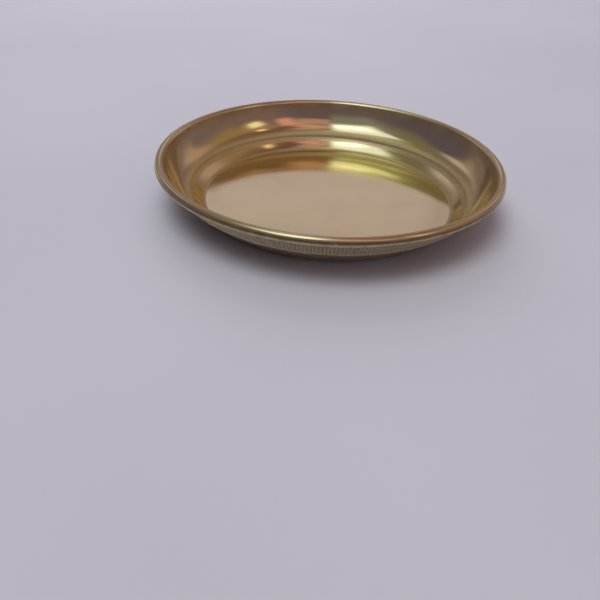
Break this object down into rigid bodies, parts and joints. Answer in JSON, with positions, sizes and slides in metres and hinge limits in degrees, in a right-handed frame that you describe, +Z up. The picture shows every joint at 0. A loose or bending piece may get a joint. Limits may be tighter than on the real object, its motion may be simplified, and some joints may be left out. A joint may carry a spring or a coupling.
{
  "type": "paten plate",
  "caption": "Shallow round brass plate with a flat floor, a stepped wall, a wired rim and a fluted band below the rim, for offerings or communion bread.",
  "frame": {"origin": "middle of the flat underside", "axes": "+Z up through the middle of the plate"},
  "size_m": [0.1, 0.1, 0.0136],
  "materials": {
    "sheet_brass": "polished, with fine spinning lines and light handling marks",
    "wire_brass": "drawn wire, dull"
  },
  "bodies": {
    "root": {"dish": "sheet_brass", "rim_wire": "wire_brass"}
  },
  "joints": []
}
